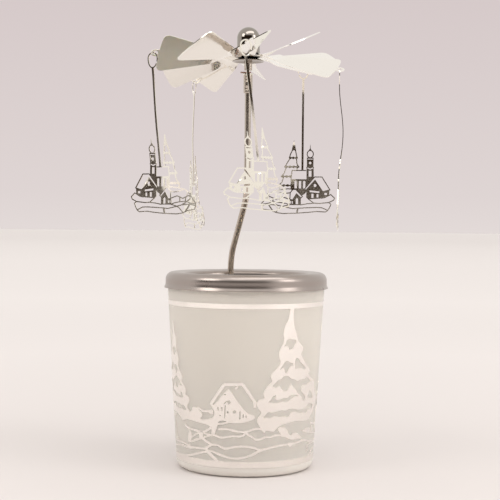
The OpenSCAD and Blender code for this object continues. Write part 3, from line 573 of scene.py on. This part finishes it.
def drawn_wire(name, points, radius, closed=False, smooth=60):
    """A round wire along points in mm, with flat ends, as a mesh."""
    bpy.ops.object.select_all(action="DESELECT")
    bpy.ops.curve.primitive_bezier_curve_add()
    wire = bpy.context.object
    wire.name = name
    wire.data.splines.clear()
    wire.data.dimensions = "3D"
    line = wire.data.splines.new("POLY")
    line.points.add(len(points) - 1)
    line.use_cyclic_u = closed
    for point, place in zip(line.points, points):
        point.co = (*mm(*place), 1)
    wire.data.bevel_depth = radius / 1000
    wire.data.bevel_resolution = 10
    wire.data.use_fill_caps = not closed
    bpy.ops.object.convert(target="MESH")
    wire = bpy.context.object
    bpy.ops.object.mode_set(mode="EDIT")
    bpy.ops.mesh.select_all(action="SELECT")
    bpy.ops.mesh.remove_doubles(threshold=1e-7)
    bpy.ops.mesh.normals_make_consistent(inside=False)
    bpy.ops.object.mode_set(mode="OBJECT")
    bpy.ops.object.shade_smooth_by_angle(angle=math.radians(smooth))
    return wire


mast = drawn_wire("mast_rod_bent", [(s * math.cos(FOOT_AZ), s * math.sin(FOOT_AZ), z) for s, z in rod_line],
                  ROD_R)
drawn_steel = finish(
    "drawn_rod_steel", (0.56, 0.50, 0.44), metallic=1.0, rough=(0.16, 0.30), spots=70.0,
    tint=(0.46, 0.40, 0.345), grain=[(900.0, 0.02, 0.35, (1, 1, 0.08)), (2500.0, 0.008, 0.3, (1, 1, 1))])
dress(mast, drawn_steel, "lid", "rod_steel", "mast_rod")
weld_steel = finish(
    "weld_steel", (0.36, 0.33, 0.31), metallic=1.0, rough=(0.35, 0.55), spots=300.0,
    tint=(0.25, 0.21, 0.18), grain=[(900.0, 0.08, 0.5, (1, 1, 1))])
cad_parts["mast_weld"].data.materials.clear()
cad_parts["mast_weld"].data.materials.append(weld_steel)

# ---- Crimped sleeve, needle, washer and clip ----
# The sleeve is a short steel tube, nipped twice with round-nosed pliers over the rod and the needle.
# A bright washer lies on it, and a wire clip on the needle keeps the rotor from jumping off.
SLEEVE_LOW, SLEEVE_TOP, SLEEVE_R = 149.0, 156.2, 1.8
rings = [SLEEVE_LOW + 0.25 + (SLEEVE_TOP - SLEEVE_LOW - 0.5) * i / 24 for i in range(25)]
sleeve = turned("crimped_sleeve", [(1.26, SLEEVE_LOW), (1.7, SLEEVE_LOW)] + [(SLEEVE_R, z) for z in rings]
                + [(1.7, SLEEVE_TOP), (0.61, SLEEVE_TOP), (0.61, 152.5), (1.26, 152.4)], sides=72)
for v in sleeve.data.vertices:
    for dent_z in (SLEEVE_LOW + 1.8, SLEEVE_LOW + 5.3):
        away = (v.co - mm(-0.3, -1.75, dent_z)).length * 1000
        if away < 1.1 and math.hypot(v.co.x, v.co.y) > 0.0015:
            dip = 0.42 * (0.5 + 0.5 * math.cos(math.pi * away / 1.1))
            v.co += v.co.xy.normalized().to_3d() * (-dip / 1000)
dress(sleeve, drawn_steel, "lid", "rod_steel", "crimp_sleeve")

bright_steel = finish(
    "bright_ground_steel", (0.82, 0.79, 0.72), metallic=1.0, rough=(0.12, 0.22), spots=200.0,
    grain=[(2600.0, 0.01, 0.3, (1, 1, 1))], along="turned")
needle = turned("pivot_needle_ground", [
    (0, 152.4), (0.6, 152.4), (0.6, 160), (0.6, 169.7), (0.52, 170.05), (0.25, 170.5), (0.05, 170.77),
    (0, 170.8)], sides=32)
dress(needle, bright_steel, "lid", "needle_steel", "pivot_needle")
washer = turned("stop_washer_bright", [
    (0.62, 156.25), (0.67, 156.2), (1.95, 156.2), (2.05, 156.3), (2.05, 156.68), (1.93, 156.8),
    (0.72, 156.8), (0.62, 156.7)], sides=64)
dress(washer, bright_steel, "lid", "needle_steel", "stop_washer")

clip_z = SLEEVE_TOP + 1.0
clip_line = [(-3.05, 0.02, clip_z + 0.05), (-2.2, 0.0, clip_z), (-0.95, 0.05, clip_z)]
clip_line += [(0.9 * math.cos(a), 0.9 * math.sin(a), clip_z)
              for a in [math.radians(180 + 300 * i / 30) for i in range(1, 31)]]
clip = drawn_wire("stop_clip_wire", clip_line, 0.29)
tempered_wire = finish("tempered_wire", (0.50, 0.33, 0.27), metallic=1.0, rough=(0.25, 0.4), spots=400.0,
                       tint=(0.38, 0.24, 0.19), grain=[(3000.0, 0.01, 0.4, (1, 1, 1))])
dress(clip, tempered_wire, "lid", "clip_wire", "stop_clip")

# ---- Rotor hub ----
# A steel tube runs down over the needle, and a brass seat in its head takes the needle's point. The
# wheel is clamped on it between a dished washer and a blackened one, under a polished domed cap.
WHEEL_Z = 163.0
tube = turned("bearing_tube_steel", [
    (0.68, 158.1), (0.8, 158), (1.5, 158), (1.6, 158.12), (1.6, 161), (1.6, 166), (1.6, 170),
    (0.68, 170), (0.68, 164)], sides=64)
dress(tube, drawn_steel, "rotor", "rod_steel", "bearing_tube")
turned_brass = finish("turned_brass", (0.78, 0.62, 0.34), metallic=1.0, rough=(0.2, 0.3), spots=200.0,
                      grain=[(2600.0, 0.01, 0.4, (1, 1, 1))], along="turned")
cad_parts["bearing_cup"].data.materials.clear()
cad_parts["bearing_cup"].data.materials.append(turned_brass)

polished_chrome = finish(
    "polished_cap_chrome", (0.34, 0.31, 0.28), metallic=1.0, rough=(0.035, 0.09), spots=120.0,
    grain=[(260.0, 0.02, 0.15, (1, 1, 1)), (2400.0, 0.003, 0.3, (1, 1, 1))], along="turned")
dished = turned("dished_washer_bright", [
    (1.6, 162.8), (3.0, 162.8), (4.2, 162.62), (5.4, 162.25), (6.25, 161.86), (6.35, 161.7), (6.28, 161.5),
    (5.4, 161.86), (4.2, 162.22), (3.0, 162.4), (1.6, 162.4)], sides=96)
dress(dished, polished_chrome, "rotor", "cap_chrome", "dished_washer")
black_washer = turned("top_washer_black", [
    (1.6, 163.25), (5.2, 163.2), (5.38, 163.3), (5.4, 163.7), (5.36, 164.05), (5.2, 164.18), (1.6, 164.2)],
    sides=96)
blackened = finish("blackened_steel", (0.15, 0.135, 0.13), metallic=1.0, rough=(0.28, 0.42), spots=150.0,
                   grain=[(2400.0, 0.01, 0.4, (1, 1, 1))], along="turned")
dress(black_washer, blackened, "rotor", "dark_washer", "top_washer")

CAP_R, CAP_Z = 4.6, 170.7
cap = turned("hub_cap_polished", [
    (4.25, 164.95), (4.72, 164.92), (4.76, 165.1), (4.68, 165.5), (4.62, 167), (4.6, 169)]
    + rounded(0, CAP_Z, CAP_R, 0, 90, 18)
    + [(0, 172), (1.6, 172), (1.6, 164.22), (2.6, 164.22), (2.6, 173.0)]
    + rounded(0, CAP_Z, CAP_R - 0.5, 40, 0, 6) + [(4.12, 168)], sides=96)
dress(cap, polished_chrome, "rotor", "cap_chrome", "hub_cap")

# ---- Vane wheel ----
# Stamped from one thin mirror-polished sheet. Its ten blades are twisted and bent by hand at their
# narrow roots, so no two sit alike, and every other one ends in an eye for a pendant.
BLADE_AZ = [16.5, 54.5, 90.5, 127, 163, 197, 234.5, 270.5, 307, 343.5]
BLADE_PITCH = [22, 30, 34, 33, 45, 40, 30.5, 29, 22.5, 28.5]
BLADE_LIFT = [2.5, 2, 0.5, -11.5, -8, 0.7, 1.5, 3.2, 8, -10.5]
EYED = [5, 3, 7, 1, 9]
ROOT_R, TWIST_LEN, ROOT_HALF, TIP_HALF, TIP_R = 7.6, 8.0, 2.0, 10.1, 36.6
CORNER, BULGE, EYE_R, VANE_SHEET = 2.4, 0.9, 37.9, 0.3


def blade_frame(i, r):
    """The middle of blade i at radius r, and its directions out and across, in mm."""
    az, lift = math.radians(BLADE_AZ[i]), math.radians(BLADE_LIFT[i])
    away = Vector((math.cos(az), math.sin(az), 0))
    out = math.cos(lift) * away + Vector((0, 0, math.sin(lift)))
    up = -math.sin(lift) * away + Vector((0, 0, math.cos(lift)))
    u = min(1, max(0, (r - ROOT_R) / TWIST_LEN))
    pitch = math.radians(BLADE_PITCH[i]) * u * u * (3 - 2 * u)
    across = math.cos(pitch) * Vector((-math.sin(az), math.cos(az), 0)) + math.sin(pitch) * up
    return ROOT_R * away + Vector((0, 0, WHEEL_Z)) + (r - ROOT_R) * out, out, across


def blade_end(v):
    over = max(0, abs(v) * TIP_HALF - (TIP_HALF - CORNER))
    return TIP_R - BULGE * v * v - (CORNER - math.sqrt(max(0, CORNER * CORNER - over * over)))


wheel_parts = []
for i in range(10):
    bpy.ops.object.select_all(action="DESELECT")
    bpy.ops.mesh.primitive_grid_add(x_subdivisions=30, y_subdivisions=24, size=2)
    blade = bpy.context.object
    for v in blade.data.vertices:
        share, side = (v.co.x + 1) / 2, math.sin(math.pi / 2 * v.co.y)
        r = ROOT_R + (blade_end(side) - ROOT_R) * share
        middle, out, across = blade_frame(i, r)
        half = ROOT_HALF + (TIP_HALF - ROOT_HALF) * (r - ROOT_R) / (TIP_R - ROOT_R)
        place = middle + side * half * across
        wave = 0.16 * share * noise.noise((place.x * 0.06 + i * 3.1, place.y * 0.06, place.z * 0.06))
        v.co = (place + wave * out.cross(across)) / 1000
    sheet = blade.modifiers.new("sheet", "SOLIDIFY")
    sheet.thickness = VANE_SHEET / 1000
    sheet.offset = 0
    bpy.ops.object.modifier_apply(modifier="sheet")
    wheel_parts.append(blade)
for i in EYED:
    middle, out, across = blade_frame(i, EYE_R)
    lug = turned("eye_lug", [(1.0, -0.12), (1.06, -0.18), (1.72, -0.18), (1.8, -0.1), (1.8, 0.1),
                             (1.72, 0.18), (1.06, 0.18), (1.0, 0.12)], sides=40)
    for v in lug.data.vertices:
        if v.co.x < -0.0008 and v.co.xy.length > 0.0015:
            v.co.x = -0.0026
    turn = Matrix((out, across, out.cross(across))).transposed().to_4x4()
    lug.data.transform(Matrix.Translation(middle / 1000) @ turn)
    wheel_parts.append(lug)
wheel_parts.append(turned("wheel_disc", [
    (1.6, 162.8), (8.3, 162.8), (8.4, 162.9), (8.4, 163.1), (8.3, 163.2), (1.6, 163.2)], sides=120))
bpy.ops.object.select_all(action="DESELECT")
for part in wheel_parts:
    part.select_set(True)
bpy.context.view_layer.objects.active = wheel_parts[-1]
bpy.ops.object.join()
vanes = bpy.context.object
vanes.name = "vane_wheel_sheet"
bpy.ops.object.mode_set(mode="EDIT")
bpy.ops.mesh.select_all(action="SELECT")
bpy.ops.mesh.normals_make_consistent(inside=False)
bpy.ops.object.mode_set(mode="OBJECT")
bpy.ops.object.shade_smooth_by_angle(angle=math.radians(30))
mirror_vane = finish(
    "mirror_vane_sheet", (0.95, 0.93, 0.88), metallic=1.0, rough=(0.05, 0.12), spots=80.0,
    tint=(0.92, 0.90, 0.84), grain=[(70.0, 0.15, 0.12, (1, 1, 1)), (2200.0, 0.003, 0.25, (1, 1, 1))])
dress(vanes, mirror_vane, "rotor", "mirror_sheet", "vane_wheel")

# ---- Pendants ----
# Each is etched from one thin polished sheet: a split ring to hook in its eye, a long strip, and an
# openwork village of a church, houses and a snowy fir. Handling has bowed each strip a little.
RING_LOW, STRIP_LEN, VILLAGE_LOW, STRIP_HALF, TWIST_LOW = 4, 38, 42, 1, 3
ART_LOW, FIR_LOW, FIR_FOOT, FIR_LEFT = 24, 30, 52, 1.5
HANG = [(-37.254, -10.456, 161.181, -32), (-22.874, 31.011, 154.995, -70), (-0.809, -38.394, 162.636, 24),
        (23.277, 30.857, 162.038, 180), (35.652, -11.819, 155.334, 86)]
# By hand each was also bent: the strip's bow, the village's curl, its lean along the sheet, and the tilt
# of its fir, all in mm; then how far its right part is folded back, and the strip's twist, in degrees.
BENT = [(0.4, 0.2, 4.0, 0.7, 0, 0), (0.5, 0.3, 0, 0.3, 0, 0), (0.4, -0.1, 5.4, 0.2, 22, 20),
        (0.4, -0.4, 0, 0.5, 0, 0), (1.6, -0.3, -0.6, 0.2, 0, 0)]
etched_sheet = finish(
    "etched_pendant_sheet", (0.93, 0.895, 0.81), metallic=1.0, rough=(0.07, 0.16), spots=150.0,
    tint=(0.90, 0.86, 0.77), grain=[(180.0, 0.12, 0.2, (1, 1, 1)), (2400.0, 0.004, 0.3, (1, 1, 1))])
for number, ((x, y, z, yaw), (bow, curl, lean, fir, fold, twist)) in enumerate(zip(HANG, BENT), 1):
    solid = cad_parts["pendant_%d" % number]
    village = bpy.data.objects.new("village_pendant_%d" % number, solid.data.copy())
    bpy.context.scene.collection.objects.link(village)
    turn = math.radians(yaw)
    along, face = Vector((math.cos(turn), math.sin(turn), 0)), Vector((math.sin(turn), -math.cos(turn), 0))
    pivot = mm(x, y, z)
    bpy.ops.object.select_all(action="DESELECT")
    village.select_set(True)
    bpy.context.view_layer.objects.active = village
    bpy.ops.object.mode_set(mode="EDIT")
    bpy.ops.mesh.select_all(action="SELECT")
    bpy.ops.mesh.remove_doubles(threshold=1e-7)
    for step in range(-9, 12):
        bpy.ops.mesh.select_all(action="SELECT")
        bpy.ops.mesh.bisect(plane_co=pivot + along * (step * 0.0015), plane_no=along)
    for step in range(1, 32):
        bpy.ops.mesh.select_all(action="SELECT")
        bpy.ops.mesh.bisect(plane_co=pivot - Vector((0, 0, step * 0.002)), plane_no=(0, 0, 1))
    bpy.ops.object.mode_set(mode="OBJECT")
    for v in village.data.vertices:
        offset = v.co - pivot
        u, low = offset.dot(along) * 1000, -offset.z * 1000
        strip = min(1, max(0, (low - RING_LOW) / STRIP_LEN))
        push = bow * math.sin(math.pi * strip) ** 2 if low < VILLAGE_LOW else 0
        slide = lean * strip
        if low > ART_LOW and abs(u) > STRIP_HALF:
            push += curl * (u / 12) ** 2 * min(1, (low - ART_LOW) / 8)
        if low > ART_LOW and u > STRIP_HALF:
            push -= (u - STRIP_HALF) * math.sin(math.radians(fold))
            slide -= (u - STRIP_HALF) * (1 - math.cos(math.radians(fold)))
        if FIR_LOW < low < FIR_FOOT and u > FIR_LEFT:
            push += fir * (u - FIR_LEFT) / 4 * min(1, (FIR_FOOT - low) / 4)
        if TWIST_LOW < low < VILLAGE_LOW and abs(u) < STRIP_HALF:
            share = math.sin(math.pi * (low - TWIST_LOW) / (VILLAGE_LOW - TWIST_LOW)) ** 0.5
            push += u * math.tan(math.radians(twist)) * share
        v.co += (face * push + along * slide) / 1000
    bpy.ops.object.shade_smooth_by_angle(angle=math.radians(25))
    dress(village, etched_sheet, "hanger_%d" % number, "pendant_sheet", "pendant_%d" % number)
